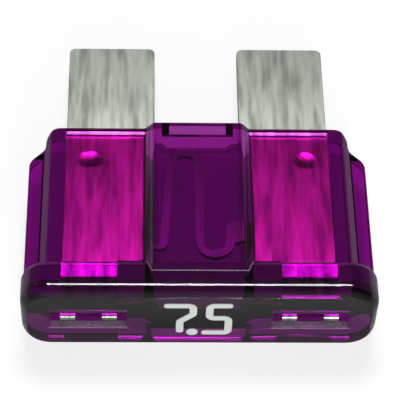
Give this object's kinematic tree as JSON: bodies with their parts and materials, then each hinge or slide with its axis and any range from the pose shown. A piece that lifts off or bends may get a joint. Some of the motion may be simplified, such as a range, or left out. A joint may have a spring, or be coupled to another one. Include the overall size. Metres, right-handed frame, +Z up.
{
  "type": "automotive blade fuse",
  "caption": "Violet translucent blade fuse: a moulded housing with a thick head and a stepped, shouldered body round a stamped metal strip with flat blades, test prongs and an S-shaped link.",
  "frame": {"origin": "middle of the bounding box's base, on the ground that the fuse lies on", "axes": "+X across the fuse, +Y from the head towards the blade tips, +Z up from the ground; the fuse lies on its broad side and tips 4.43 degrees down towards its blades"},
  "size_m": [0.019, 0.019, 0.0052],
  "materials": {
    "housing_plastic": "translucent violet moulded polycarbonate, glossy",
    "strip_metal": "tinned zinc alloy with fine rolling streaks along the blades"
  },
  "bodies": {
    "root": {"housing": "housing_plastic", "fuse_strip": "strip_metal"}
  },
  "joints": []
}
